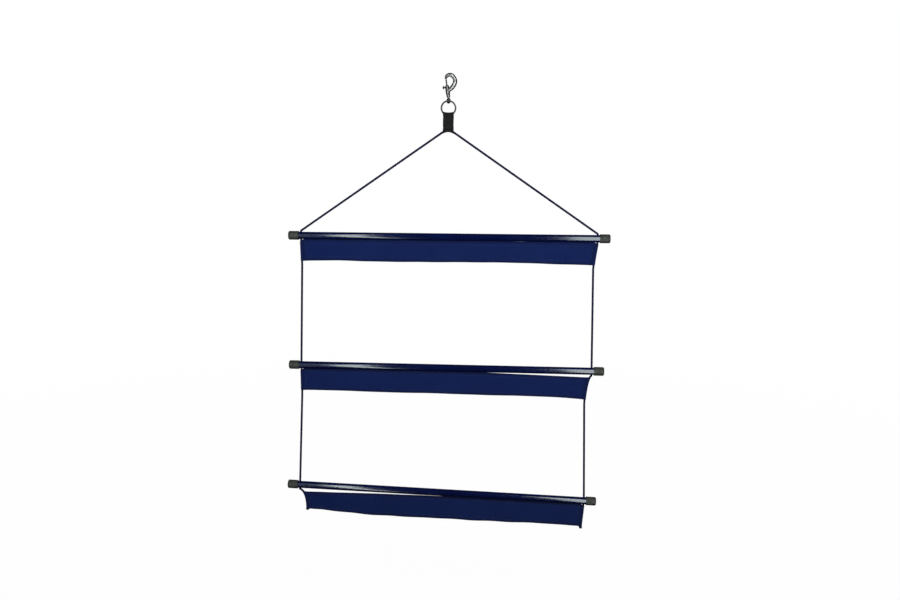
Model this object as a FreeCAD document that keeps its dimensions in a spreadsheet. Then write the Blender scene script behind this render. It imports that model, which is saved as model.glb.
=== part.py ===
import FreeCAD, Part
import functools
import math
import os

import Sketcher
from FreeCAD import Placement, Rotation, Vector

# Three-bar hanging drying rack. A bolt snap carries a swivel eye, a ring and a webbing loop. A rope bridle runs
# through the loop down to the top bar, and two ropes go on down from bar to bar. Under each bar a strip of cloth
# is threaded on the ropes by its two side hems.
# Frame: origin where the hook bears on whatever it hangs from, +X along the bars, +Z up, +Y to the back.

# Driving dimensions, mm and degrees.
DIMS = {
    # bars
    "tube_dia": 22.0,
    "tube_bore": 19.6,
    "tube_length": 958.0,
    "rope_hole_half": 445.0,
    "rope_hole_dia": 7.0,
    "cap_dia": 26.6,
    "cap_length": 31.0,
    "cap_end_wall": 4.0,
    "cap_round": 4.5,
    "top_bar_x": 4.2,
    "top_bar_z": -469.7,
    "top_bar_tilt": -0.4,
    "middle_bar_x": 0.9,
    "middle_bar_z": -872.5,
    "middle_bar_tilt": -0.1,
    "bottom_bar_x": -8.3,
    "bottom_bar_z": -1273.0,
    "bottom_bar_tilt": 1.65,
    # rope
    "rope_dia": 6.0,
    "ball_inset": 0.05,
    "rope_gap": 0.3,
    "bar_knot_dia": 15.5,
    "tail_knot_dia": 9.6,
    # cloth strips: each hem is given by how far the rope in it lies inside the bar's hole, at its top and bottom
    "cloth_thick": 1.6,
    "top_drop": 66.0,
    "middle_drop": 68.0,
    "bottom_drop": 73.0,
    "strip_gap": 0.8,
    "hem_start": 5.6,
    "hem_dia": 8.4,
    "hem_play": 0.15,
    "top_left_hem_out": 0.0,
    "top_left_hem_in": 2.0,
    "top_right_hem_out": 0.0,
    "top_right_hem_in": 10.5,
    "middle_left_hem_out": 0.0,
    "middle_left_hem_in": 1.5,
    "middle_right_hem_out": 9.0,
    "middle_right_hem_in": 19.0,
    "middle_right_gap": 9.0,
    "middle_gap_start": 90.0,
    "bottom_left_hem_out": 23.0,
    "bottom_left_hem_in": 25.0,
    "bottom_left_gap": 12.0,
    "bottom_left_drop": 53.0,
    "bottom_gap_start": 0.0,
    "bottom_right_hem_out": 1.0,
    "bottom_right_hem_in": 4.0,
    # webbing loop
    "web_width": 31.6,
    "web_thick": 1.6,
    "web_gap": 0.3,
    "web_fold_height": 12.0,
    "web_fold_depth": 30.0,
    "rope_arch_top": -154.8,
    "rope_arch_rise": 27.8,
    "stitch_length": 3.0,
    "stitch_thick": 0.5,
    "stitch_pitch": 4.6,
    "stitch_inset": 9.0,
    # ring and swivel eye
    "ring_radius": 20.8,
    "ring_wire": 4.8,
    "ring_z": -90.0,
    "eye_wire": 5.0,
    "eye_half_height": 5.4,
    "eye_straight": 3.8,
    "eye_turn": 35.0,
    "eye_shank_dia": 3.6,
    "eye_head_dia": 4.8,
    "eye_head_thick": 2.0,
    "eye_head_play": 1.0,
    # bolt snap, in its own frame: barrel along +Z, hook to +X
    "snap_lean": 9.0,
    "snap_base_z": -59.9,
    "barrel_foot_dia": 10.4,
    "barrel_waist_dia": 13.2,
    "barrel_waist_z": 17.0,
    "barrel_mouth_dia": 10.6,
    "barrel_top": 36.0,
    "barrel_bore": 6.8,
    "barrel_floor": 2.5,
    "barrel_foot_bevel": 0.8,
    "barrel_taper_start": 4.0,
    "barrel_waist_height": 8.0,
    "barrel_mouth_bevel": 1.0,
    "floor_hole_dia": 5.0,
    "tip_clearance": 0.3,
    "tip_flat": 1.3,
    "slot_width": 4.8,
    "slot_spare": 0.6,
    "bolt_plunger_dia": 6.3,
    "bolt_plunger_foot": 23.0,
    "bolt_plunger_top": 34.5,
    "bolt_rod_dia": 4.4,
    "bolt_tip": 52.6,
    "bolt_tip_bevel": 0.8,
    "bolt_travel": 11.0,
    "stud_z": 30.5,
    "stud_neck_dia": 4.2,
    "stud_head_dia": 9.6,
    "stud_head_start": 8.4,
    "stud_head_end": 13.2,
    "stud_head_round": 1.7,
    "spring_dia": 5.2,
    "spring_wire": 0.7,
    "spring_foot": 6.0,
    "spring_turns": 7.0,
}

# Each arc of a bent rope takes this share of the shorter run beside it.
ARC_SHARE = 0.45
# A swept rope's volume may differ from its section times its length by this much.
SWEEP_TOLERANCE = 0.01

# The hook's centre line from the barrel to the tip: sideways, up, thickness.
HOOK = [
    (2.0, 20.5, 10.5),
    (11.0, 25.0, 12.5),
    (20.3, 33.4, 13.0),
    (25.8, 45.6, 12.2),
    (22.6, 57.2, 11.6),
    (13.6, 64.3, 11.4),
    (4.9, 63.0, 10.0),
    (0.3, 57.4, 7.4),
    (0.0, 53.4, 6.2),
]

doc = FreeCAD.newDocument("three_bar_drying_rack")
sheet = doc.addObject("Spreadsheet::Sheet", "dims")


def fill_sheet():
    """Write every driving dimension to the sheet, one row each, with its alias."""
    cells = dict(DIMS)
    for n, (u, v, thick) in enumerate(HOOK):
        cells[f"hook_{n}_side"] = u
        cells[f"hook_{n}_up"] = v
        cells[f"hook_{n}_thick"] = thick
    for row, (alias, value) in enumerate(cells.items(), 1):
        sheet.set(f"A{row}", alias)
        sheet.set(f"B{row}", str(value))
        sheet.setAlias(f"B{row}", alias)
    doc.recompute()


fill_sheet()


def dim(alias):
    """A driving dimension's value."""
    return float(sheet.get(alias))


def bind(thing, **cells):
    """Bind properties to expressions over the sheet's cells."""
    for prop, expression in cells.items():
        thing.setExpression(prop, expression)


# ---------------------------------------------------------------- sketch and body helpers


def plane_of(body, role):
    """One of a body's own origin planes."""
    return next(f for f in body.Origin.OriginFeatures if f.Role == role)


def new_body(name):
    body = doc.addObject("PartDesign::Body", name)
    body.Label = name
    return body


def new_sketch(body, name, role="XY_Plane", offset=None):
    """A sketch attached flat to one of its body's origin planes."""
    sketch = body.newObject("Sketcher::SketchObject", name)
    sketch.AttachmentSupport = (plane_of(body, role), [""])
    sketch.MapMode = "FlatFace"
    if offset is not None:
        sketch.AttachmentOffset = offset
    return sketch


def add_circle(sketch, diameter, x=0.0, y=0.0, x_cell=None):
    """A circle whose diameter is an expression; x_cell binds its centre's distance along x as well."""
    n = sketch.addGeometry(Part.Circle(Vector(x, y, 0), Vector(0, 0, 1), 1.0), False)
    c = sketch.addConstraint(Sketcher.Constraint("Diameter", n, 2.0))
    sketch.setExpression(f"Constraints[{c}]", diameter)
    if x_cell is not None:
        d = sketch.addConstraint(Sketcher.Constraint("DistanceX", -1, 1, n, 3, x))
        sketch.setExpression(f"Constraints[{d}]", x_cell)
        sketch.addConstraint(Sketcher.Constraint("PointOnObject", n, 3, -1))
    return n


def add_outline(sketch, points):
    """A closed outline of straight lines through (x, y) points."""
    for a, b in zip(points, points[1:] + points[:1]):
        sketch.addGeometry(Part.LineSegment(Vector(*a, 0), Vector(*b, 0)), False)


def revolve(body, sketch, axis):
    """A full turn of a sketch about one of its own axes, such as V_Axis."""
    turn = body.newObject("PartDesign::Revolution", sketch.Name + "_turn")
    turn.Profile = sketch
    turn.ReferenceAxis = (sketch, [axis])
    turn.Angle = 360.0
    return turn


# ---------------------------------------------------------------- places worked out from the dimensions


class Bar:
    """One bar's place: its middle, its tilt in the XZ plane, and the rope pivots above and below its holes."""

    def __init__(self, tier):
        self.tier = tier
        self.middle = Vector(dim(tier + "_bar_x"), 0, dim(tier + "_bar_z"))
        self.placement = Placement(self.middle, Rotation(Vector(0, 1, 0), dim(tier + "_bar_tilt")))
        self.pivot_height = dim("tube_dia") / 2 + dim("rope_gap") + dim("rope_dia") / 2

    def at(self, along, up=0.0):
        """A point given along the bar and square to it."""
        return self.placement.multVec(Vector(along, 0, up))

    def pivot(self, side, up):
        """Where the rope bends outside a hole: side -1 left or 1 right, up 1 above or -1 below."""
        return self.at(side * dim("rope_hole_half"), up * self.pivot_height)


BARS = {tier: Bar(tier) for tier in ("top", "middle", "bottom")}
SIDES = {"left": -1, "right": 1}


def strip_gap(tier, side):
    """The gap between a bar and its strip's top corner."""
    own = f"{tier}_{side}_gap"
    return dim(own if own in DIMS else "strip_gap")


def strip_foot(tier, side="middle"):
    """How far a strip's bottom edge lies below its bar's axis, at a corner or along the middle."""
    own = f"{tier}_{side}_drop"
    return dim("tube_dia") / 2 + strip_gap(tier, side) + dim(own if own in DIMS else f"{tier}_drop")


def hem_top(tier, side):
    """How far a hem's top lies below its bar's axis: clear of the bar, and of the rope's bend under it."""
    return max(dim("tube_dia") / 2 + strip_gap(tier, side), BARS[tier].pivot_height + dim("hem_start"))


def hem_point(tier, side, end):
    """The rope's centre at the top ("out") or the foot ("in") of a hem."""
    along = SIDES[side] * (dim("rope_hole_half") - dim(f"{tier}_{side}_hem_{end}"))
    depth = hem_top(tier, side) if end == "out" else strip_foot(tier, side)
    return BARS[tier].at(along, -depth)


# ---------------------------------------------------------------- rope runs


def rounded_wire(points):
    """Straight runs joined by tangent arcs, each as large as its two runs allow. Prints the arc radii."""
    edges, radii = [], []
    start = points[0]
    for a, b, c in zip(points, points[1:], points[2:]):
        back, ahead = (a - b), (c - b)
        short = min(back.Length, ahead.Length)
        half_turn = (math.pi - back.getAngle(ahead)) / 2
        cut = ARC_SHARE * short
        radius = cut / math.tan(half_turn)
        back.normalize()
        ahead.normalize()
        first, last = b + back * cut, b + ahead * cut
        bisector = back + ahead
        bisector.normalize()
        centre = b + bisector * (radius / math.cos(half_turn))
        middle = centre - bisector * radius
        edges.append(Part.LineSegment(start, first).toShape())
        edges.append(Part.Arc(first, middle, last).toShape())
        start = last
        radii.append(round(radius, 1))
    edges.append(Part.LineSegment(start, points[-1]).toShape())
    return Part.Wire(edges), radii


def sweep_round(wire, radius):
    """A round solid along a wire, its volume compared with its section times its length."""
    first = wire.Edges[0]
    at = first.FirstParameter
    section = Part.Wire(Part.makeCircle(radius, first.valueAt(at), first.tangentAt(at)))
    tube = wire.makePipeShell([section], True, False)
    expected = math.pi * radius**2 * wire.Length
    if abs(tube.Volume / expected - 1) > SWEEP_TOLERANCE:
        raise ValueError(f"swept volume {tube.Volume:.0f}, section times length {expected:.0f}")
    return tube


def rope_tube(name, wire, ball_ends):
    """A round rope along a wire, with a ball at each pivot so that it turns there without catching."""
    radius = dim("rope_dia") / 2
    tube = sweep_round(wire, radius)
    for ball in ball_ends:
        tube = tube.fuse(Part.makeSphere(radius - dim("ball_inset"), ball))
    print(name, "length", round(wire.Length, 1), "mm")
    return tube.removeSplitter()


def add_shape(name, shape):
    feature = doc.addObject("Part::Feature", name)
    feature.Label = name
    feature.Shape = shape
    return feature


def arch():
    """The rope's arch inside the webbing: its centre, and the angle from the top at which the legs leave it."""
    centre = Vector(0, 0, dim("rope_arch_top") - dim("rope_arch_rise"))
    leave = {}
    for side, s in SIDES.items():
        reach = BARS["top"].pivot(s, 1) - centre
        off = math.acos(dim("rope_arch_rise") / reach.Length)
        leave[side] = s * math.atan2(abs(reach.x), reach.z) - s * off
    return centre, leave


def make_bridle_rope():
    centre, leave = arch()
    radius = dim("rope_arch_rise")
    on_arch = {
        side: centre + Vector(math.sin(a), 0, math.cos(a)) * radius for side, a in leave.items()
    }
    left, right = BARS["top"].pivot(-1, 1), BARS["top"].pivot(1, 1)
    wire = Part.Wire(
        [
            Part.LineSegment(left, on_arch["left"]).toShape(),
            Part.Arc(on_arch["left"], centre + Vector(0, 0, radius), on_arch["right"]).toShape(),
            Part.LineSegment(on_arch["right"], right).toShape(),
        ]
    )
    return add_shape("bridle_rope", rope_tube("bridle_rope", wire, [left, right]))


def ladder_route(tier, side):
    """A side rope's points from below one bar, through the hem, to above the next bar."""
    s = SIDES[side]
    points = [BARS[tier].pivot(s, -1)]
    if dim(f"{tier}_{side}_hem_out"):
        points.append(hem_point(tier, side, "out"))
    points.append(hem_point(tier, side, "in"))
    below = {"top": "middle", "middle": "bottom"}.get(tier)
    if below:
        points.append(BARS[below].pivot(s, 1))
    return points


@functools.lru_cache(maxsize=None)
def side_rope_wire(tier, side):
    """A side rope's centre line. The last one ends at the knot in the foot of the hem."""
    points = ladder_route(tier, side)
    if tier == "bottom":
        points[-1] = knot_centre(side)
    if len(points) == 2:
        return Part.Wire([Part.LineSegment(*points).toShape()])
    wire, radii = rounded_wire(points)
    print(tier, side, "rope's arc radii", radii)
    return wire


def make_side_rope(name, tier, side):
    points = ladder_route(tier, side)
    ends = points[:1] if tier == "bottom" else [points[0], points[-1]]
    return add_shape(name, rope_tube(name, side_rope_wire(tier, side), ends))


def knot_centre(side):
    """The end knot sits just inside the foot of the bottom strip's hem."""
    top, foot = hem_point("bottom", side, "out"), hem_point("bottom", side, "in")
    along = foot - top
    along.normalize()
    return foot + along * (dim("tail_knot_dia") / 4)


def make_tail_knot(side):
    name = f"tail_knot_{side}"
    ball = doc.addObject("Part::Sphere", name + "_ball")
    bind(ball, Radius="dims.tail_knot_dia / 2")
    ball.Placement = Placement(knot_centre(side), Rotation())
    run = doc.addObject("Part::Cylinder", name + "_rope")
    top = hem_point("bottom", side, "out")
    bind(run, Radius="dims.rope_dia / 2")
    run.Height = (top - knot_centre(side)).Length
    run.Placement = Placement(knot_centre(side), Rotation(Vector(0, 0, 1), top - knot_centre(side)))
    knot = doc.addObject("Part::Cut", name)
    knot.Label = name
    knot.Base = ball
    knot.Tool = run
    return knot


# ---------------------------------------------------------------- bars


def make_tube(tier):
    """A tube with a rope hole straight down through both walls near each end."""
    name = f"{tier}_tube"
    body = new_body(name)
    wall = new_sketch(body, name + "_wall", "YZ_Plane")
    add_circle(wall, "dims.tube_dia")
    add_circle(wall, "dims.tube_bore")
    pad = body.newObject("PartDesign::Pad", name + "_pad")
    pad.Profile = wall
    pad.SideType = "Symmetric"
    bind(pad, Length="dims.tube_length")
    doc.recompute()
    uncut = pad.Shape.Volume
    holes = new_sketch(body, name + "_holes", "XY_Plane")
    add_circle(holes, "dims.rope_hole_dia", dim("rope_hole_half"), x_cell="dims.rope_hole_half")
    add_circle(holes, "dims.rope_hole_dia", -dim("rope_hole_half"), x_cell="-dims.rope_hole_half")
    cut = body.newObject("PartDesign::Pocket", name + "_cut")
    cut.Profile = holes
    cut.Type = "ThroughAll"
    cut.SideType = "Symmetric"
    body.Placement = BARS[tier].placement
    doc.recompute()
    wall_area = math.pi * dim("rope_hole_dia") ** 2 / 4
    if not cut.Shape.Volume < uncut - 2 * wall_area * (dim("tube_dia") - dim("tube_bore")):
        raise ValueError(f"{name}: the rope holes cut too little")
    return body


def make_cap(tier, side):
    """A rubber cap pushed over a tube's end, its outer rim well rounded."""
    name = f"{tier}_cap_{side}"
    body = new_body(name)
    outer, bore = dim("cap_dia") / 2, dim("tube_dia") / 2
    length, wall, rim = dim("cap_length"), dim("cap_end_wall"), dim("cap_round")
    half = new_sketch(body, name + "_half", "XZ_Plane")
    lines = [
        ((wall - length, bore), (0, bore)),
        ((0, bore), (0, 0)),
        ((0, 0), (wall, 0)),
        ((wall, 0), (wall, outer - rim)),
        ((wall - rim, outer), (wall - length, outer)),
        ((wall - length, outer), (wall - length, bore)),
    ]
    for a, b in lines:
        half.addGeometry(Part.LineSegment(Vector(*a, 0), Vector(*b, 0)), False)
    centre = Vector(wall - rim, outer - rim, 0)
    half.addGeometry(Part.ArcOfCircle(Part.Circle(centre, Vector(0, 0, 1), rim), 0, math.pi / 2), False)
    revolve(body, half, "H_Axis")
    s = SIDES[side]
    flip = Rotation() if s > 0 else Rotation(Vector(0, 0, 1), 180)
    end = Placement(Vector(s * dim("tube_length") / 2, 0, 0), flip)
    body.Placement = BARS[tier].placement.multiply(end)
    return body


def make_bar_knots(tier):
    """The rope's stopper knots inside a tube, with the rope that fills the two holes at each end."""
    name = f"{tier}_bar_knots"
    members = []
    for side, s in SIDES.items():
        ball = doc.addObject("Part::Sphere", f"{name}_{side}_ball")
        bind(ball, Radius="dims.bar_knot_dia / 2")
        ball.Placement = Placement(BARS[tier].at(s * dim("rope_hole_half")), Rotation())
        run = doc.addObject("Part::Cylinder", f"{name}_{side}_rope")
        bind(run, Radius="dims.rope_dia / 2", Height="dims.tube_dia")
        foot = BARS[tier].at(s * dim("rope_hole_half"), -dim("tube_dia") / 2)
        run.Placement = Placement(foot, BARS[tier].placement.Rotation)
        members += [ball, run]
    knots = doc.addObject("Part::MultiFuse", name)
    knots.Label = name
    knots.Shapes = members
    return knots


# ---------------------------------------------------------------- cloth strips


def strip_outline(tier):
    """The strip's edge as (along, up) points of its bar's own frame, clockwise from the top left corner."""
    under = -dim("tube_dia") / 2
    half = dim("rope_hole_half")
    left_top = -half + dim(f"{tier}_left_hem_out")
    right_top = half - dim(f"{tier}_right_hem_out")
    left_foot = -half + dim(f"{tier}_left_hem_in")
    right_foot = half - dim(f"{tier}_right_hem_in")
    points = [(left_top, under - strip_gap(tier, "left"))]
    if f"{tier}_gap_start" in DIMS:
        points.append((dim(f"{tier}_gap_start"), under - dim("strip_gap")))
    points.append((right_top, under - strip_gap(tier, "right")))
    points.append((right_foot, -strip_foot(tier, "right")))
    points.append((0.0, -strip_foot(tier)))
    points.append((left_foot, -strip_foot(tier, "left")))
    return points


def swept_route(name, tier, side, radius):
    """A round solid along a side rope's own route."""
    return add_shape(name, sweep_round(side_rope_wire(tier, side), radius))


def make_hem(tier, side):
    """The sleeve that the rope runs down: the part of a wider tube along the rope that lies in the strip's height."""
    name = f"{tier}_strip_{side}_hem"
    s = SIDES[side]
    reach = doc.addObject("Part::Box", name + "_reach")
    reach.Length = dim("hem_dia") * 8
    bind(reach, Width="2 * dims.hem_dia")
    reach.Height = strip_foot(tier, side) - hem_top(tier, side)
    corner = Vector(s * dim("rope_hole_half") - reach.Length.Value / 2, -dim("hem_dia"), -strip_foot(tier, side))
    reach.Placement = BARS[tier].placement.multiply(Placement(corner, Rotation()))
    hem = doc.addObject("Part::Common", name)
    hem.Base = swept_route(name + "_tube", tier, side, dim("hem_dia") / 2)
    hem.Tool = reach
    return hem


def make_strip(tier):
    """A cloth strip: a thin flat sheet with a sleeve down each side for the rope."""
    name = f"{tier}_strip"
    sheet_body = new_body(name + "_sheet")
    edge = new_sketch(sheet_body, name + "_edge", "XZ_Plane")
    add_outline(edge, strip_outline(tier))
    pad = sheet_body.newObject("PartDesign::Pad", name + "_pad")
    pad.Profile = edge
    pad.SideType = "Symmetric"
    bind(pad, Length="dims.cloth_thick")
    sheet_body.Placement = BARS[tier].placement
    solids, tunnels = [sheet_body], []
    for side in SIDES:
        solids.append(make_hem(tier, side))
        bore = dim("rope_dia") / 2 + dim("hem_play")
        tunnels.append(swept_route(f"{name}_{side}_tunnel", tier, side, bore))
        rooms = {"bend": (BARS[tier].pivot(SIDES[side], -1), "dims.rope_dia / 2 + dims.hem_play")}
        if tier == "bottom":
            rooms["knot"] = (knot_centre(side), "dims.tail_knot_dia / 2 + dims.rope_gap")
        for word, (centre, radius) in rooms.items():
            room = doc.addObject("Part::Sphere", f"{name}_{side}_{word}_room")
            bind(room, Radius=radius)
            room.Placement = Placement(centre, Rotation())
            tunnels.append(room)
    whole = doc.addObject("Part::MultiFuse", name + "_whole")
    whole.Shapes = solids
    holes = doc.addObject("Part::MultiFuse", name + "_tunnels")
    holes.Shapes = tunnels
    strip = doc.addObject("Part::Cut", name)
    strip.Label = name
    strip.Base = whole
    strip.Tool = holes
    return strip


# ---------------------------------------------------------------- ring, eye and webbing


FACING = Rotation(Vector(1, 0, 0), 90)


def make_torus(name, centre, major, minor):
    """A ring that lies in the XZ plane. major and minor are expressions."""
    torus = doc.addObject("Part::Torus", name)
    torus.Label = name
    bind(torus, Radius1=major, Radius2=minor)
    torus.Placement = Placement(centre, FACING)
    return torus


def make_disc(name, centre, radius):
    """A short cylinder along Y, wider than the webbing's folds are deep."""
    disc = doc.addObject("Part::Cylinder", name)
    bind(disc, Radius=radius)
    depth = 4 * (dim("ring_wire") + dim("rope_dia"))
    disc.Height = depth
    disc.Placement = Placement(centre + Vector(0, depth / 2, 0), FACING)
    return disc


def make_webbing():
    """A strap folded round the ring's wire above and the rope's arch below, its two layers sewn together."""
    ring_centre = Vector(0, 0, dim("ring_z"))
    arch_centre, _ = arch()
    fold = dim("web_fold_height")
    flat = doc.addObject("Part::Box", "webbing_flat")
    bind(flat, Length="dims.web_width", Width="2 * dims.web_thick")
    flat.Height = ring_centre.z - arch_centre.z
    flat.Placement = Placement(Vector(-dim("web_width") / 2, -dim("web_thick"), arch_centre.z), Rotation())
    ends = doc.addObject("Part::MultiFuse", "webbing_flat_ends")
    ends.Shapes = [
        make_disc("webbing_ring_disc", ring_centre, "dims.ring_radius"),
        make_disc("webbing_arch_disc", arch_centre, "dims.rope_arch_rise"),
    ]
    body = doc.addObject("Part::Cut", "webbing_middle")
    body.Base = flat
    body.Tool = ends
    folds = doc.addObject("Part::MultiFuse", "webbing_folds")
    folds.Shapes = [
        body,
        make_torus(
            "webbing_top_fold",
            ring_centre,
            "dims.ring_radius",
            "dims.ring_wire / 2 + dims.web_gap + dims.web_thick",
        ),
        make_torus(
            "webbing_foot_fold",
            arch_centre,
            "dims.rope_arch_rise",
            "dims.rope_dia / 2 + dims.web_gap + dims.web_thick",
        ),
    ]
    strap = doc.addObject("Part::Box", "webbing_strap")
    bind(strap, Length="dims.web_width", Width="dims.web_fold_depth")
    strap_foot = arch_centre.z + fold
    strap.Height = ring_centre.z - dim("ring_radius") + fold - strap_foot
    corner = Vector(-dim("web_width") / 2, -dim("web_fold_depth") / 2, strap_foot)
    strap.Placement = Placement(corner, Rotation())
    within = doc.addObject("Part::Common", "webbing_within")
    within.Base = folds
    within.Tool = strap
    bores = doc.addObject("Part::MultiFuse", "webbing_bores")
    bores.Shapes = [
        make_torus("webbing_ring_bore", ring_centre, "dims.ring_radius", "dims.ring_wire / 2 + dims.web_gap"),
        make_torus("webbing_rope_bore", arch_centre, "dims.rope_arch_rise", "dims.rope_dia / 2 + dims.web_gap"),
    ]
    webbing = doc.addObject("Part::Cut", "webbing_loop")
    webbing.Label = "webbing_loop"
    webbing.Base = within
    webbing.Tool = bores
    return webbing


def make_stitching():
    """Two rows of thread, each seen on both faces of the webbing as short separate stitches."""
    ring_bottom = dim("ring_z") - dim("ring_radius")
    count = int(dim("web_width") / dim("stitch_pitch"))
    length, thick = dim("stitch_length"), dim("stitch_thick")
    stitches = []
    for row in (ring_bottom - dim("stitch_inset"), dim("rope_arch_top") + dim("stitch_inset")):
        for n in range(count):
            x = (n - (count - 1) / 2) * dim("stitch_pitch") - length / 2
            for face in (dim("web_thick"), -dim("web_thick") - thick):
                stitches.append(Part.makeBox(length, thick, thick, Vector(x, face, row)))
    return add_shape("webbing_stitching", Part.makeCompound(stitches))


def eye_centre():
    """The eye hangs so that the ring's wire rests just clear of its lowest bar."""
    ring_top = dim("ring_z") + dim("ring_radius")
    rest = (dim("ring_wire") + dim("eye_wire")) / 2 + dim("rope_gap")
    return Vector(0, 0, ring_top - rest + dim("eye_half_height"))


def make_swivel_eye():
    """A round-ended loop on a headed shank. The loop is swept, the shank and head are turned."""
    body = new_body("swivel_eye")
    radius, half = dim("eye_half_height"), dim("eye_straight") / 2
    path = new_sketch(body, "eye_path", "YZ_Plane")
    path.addGeometry(Part.LineSegment(Vector(-half, -radius, 0), Vector(half, -radius, 0)), False)
    path.addGeometry(Part.LineSegment(Vector(half, radius, 0), Vector(-half, radius, 0)), False)
    for s in (-1, 1):
        bow = Part.Circle(Vector(s * half, 0, 0), Vector(0, 0, 1), radius)
        middle = 0 if s > 0 else math.pi
        path.addGeometry(Part.ArcOfCircle(bow, middle - math.pi / 2, middle + math.pi / 2), False)
    section = new_sketch(body, "eye_section", "XZ_Plane")
    ring = section.addGeometry(Part.Circle(Vector(0, -radius, 0), Vector(0, 0, 1), 1.0), False)
    size = section.addConstraint(Sketcher.Constraint("Diameter", ring, 2.0))
    section.setExpression(f"Constraints[{size}]", "dims.eye_wire")
    loop = body.newObject("PartDesign::AdditivePipe", "eye_loop")
    loop.Profile = section
    loop.Spine = path
    centre = eye_centre()
    rise = dim("snap_base_z") - centre.z
    neck, head = dim("eye_shank_dia") / 2, dim("eye_head_dia") / 2
    head_foot = rise + dim("barrel_floor") + dim("eye_head_play")
    half_shank = new_sketch(body, "eye_shank", "XZ_Plane")
    add_outline(
        half_shank,
        [
            (0, radius),
            (neck, radius),
            (neck, head_foot),
            (head, head_foot),
            (head, head_foot + dim("eye_head_thick")),
            (0, head_foot + dim("eye_head_thick")),
        ],
    )
    revolve(body, half_shank, "V_Axis")
    body.Placement = Placement(centre, Rotation(Vector(0, 0, 1), dim("eye_turn")))
    return body


# ---------------------------------------------------------------- bolt snap


def snap_placement():
    return Placement(Vector(0, 0, dim("snap_base_z")), Rotation(Vector(0, 1, 0), -dim("snap_lean")))


def hook_section(body, n):
    """The hook's round section at one station, square to the centre line."""
    count = len(HOOK)
    here = Vector(dim(f"hook_{n}_side"), 0, dim(f"hook_{n}_up"))
    before, after = max(n - 1, 0), min(n + 1, count - 1)
    run = Vector(
        dim(f"hook_{after}_side") - dim(f"hook_{before}_side"),
        0,
        dim(f"hook_{after}_up") - dim(f"hook_{before}_up"),
    )
    turn = math.degrees(math.atan2(run.x, run.z))
    offset = Placement(here, Rotation(Vector(0, 1, 0), turn))
    sketch = new_sketch(body, f"hook_station_{n}", "XY_Plane", offset)
    add_circle(sketch, f"dims.hook_{n}_thick")
    return sketch


def make_snap_body():
    """A cast hook on a hollow barrel that is slotted on its left side for the thumb stud."""
    body = new_body("snap_body")
    foot, waist, mouth = dim("barrel_foot_dia") / 2, dim("barrel_waist_dia") / 2, dim("barrel_mouth_dia") / 2
    foot_bevel, mouth_bevel = dim("barrel_foot_bevel"), dim("barrel_mouth_bevel")
    half = new_sketch(body, "barrel_half", "XZ_Plane")
    add_outline(
        half,
        [
            (0, 0),
            (foot - foot_bevel, 0),
            (foot, foot_bevel),
            (foot, dim("barrel_taper_start")),
            (waist, dim("barrel_waist_z")),
            (waist, dim("barrel_waist_z") + dim("barrel_waist_height")),
            (mouth, dim("barrel_top") - mouth_bevel),
            (mouth - mouth_bevel, dim("barrel_top")),
            (0, dim("barrel_top")),
        ],
    )
    revolve(body, half, "V_Axis")
    sections = [hook_section(body, n) for n in range(len(HOOK))]
    hook = body.newObject("PartDesign::AdditiveLoft", "hook_arm")
    hook.Profile = sections[0]
    hook.Sections = sections[1:]
    hook.Ruled = False
    doc.recompute()
    uncut = hook.Shape.Volume
    bore = new_sketch(body, "barrel_bore_half", "XZ_Plane")
    r, floor, top = dim("barrel_bore") / 2, dim("barrel_floor"), dim("barrel_top")
    hole = dim("floor_hole_dia") / 2
    above = dim("bolt_tip") + dim("tip_clearance")
    rod = dim("bolt_rod_dia") / 2 + dim("tip_flat")
    add_outline(
        bore,
        [(0, -1), (hole, -1), (hole, floor), (r, floor), (r, top), (rod, top), (rod, above), (0, above)],
    )
    cavity = body.newObject("PartDesign::Groove", "barrel_cavity")
    cavity.Profile = bore
    cavity.ReferenceAxis = (bore, ["V_Axis"])
    cavity.Angle = 360.0
    doc.recompute()
    if not cavity.Shape.Volume < uncut - math.pi * hole**2 * floor:
        raise ValueError("snap_body: the bore cut too little")
    slot = new_sketch(body, "stud_slot", "YZ_Plane")
    width = dim("slot_width") / 2
    low = dim("stud_z") - dim("bolt_travel") - width
    high = dim("stud_z") + width + dim("slot_spare")
    add_outline(slot, [(-width, low), (width, low), (width, high), (-width, high)])
    cut = body.newObject("PartDesign::Pocket", "stud_slot_cut")
    cut.Profile = slot
    cut.Type = "Length"
    cut.Length = dim("barrel_waist_dia")
    cut.Reversed = False
    doc.recompute()
    inside = Vector(-dim("barrel_waist_dia") / 2 + 1, 0, (low + high) / 2)
    if cut.Shape.isInside(inside, 0.01, True):
        cut.Reversed = True
    body.Placement = snap_placement()
    return body


def make_snap_bolt():
    """The sliding bolt that closes the hook: a plunger in the barrel and a thinner rod up to the tip."""
    body = new_body("snap_bolt")
    half = new_sketch(body, "bolt_half", "XZ_Plane")
    plunger, rod = dim("bolt_plunger_dia") / 2, dim("bolt_rod_dia") / 2
    foot, top, tip = dim("bolt_plunger_foot"), dim("bolt_plunger_top"), dim("bolt_tip")
    bevel = dim("bolt_tip_bevel")
    shoulder = top + plunger - rod
    add_outline(
        half,
        [(0, foot), (plunger, foot), (plunger, top), (rod, shoulder), (rod, tip - bevel), (rod - bevel, tip), (0, tip)],
    )
    revolve(body, half, "V_Axis")
    body.Placement = snap_placement()
    return body


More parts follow.
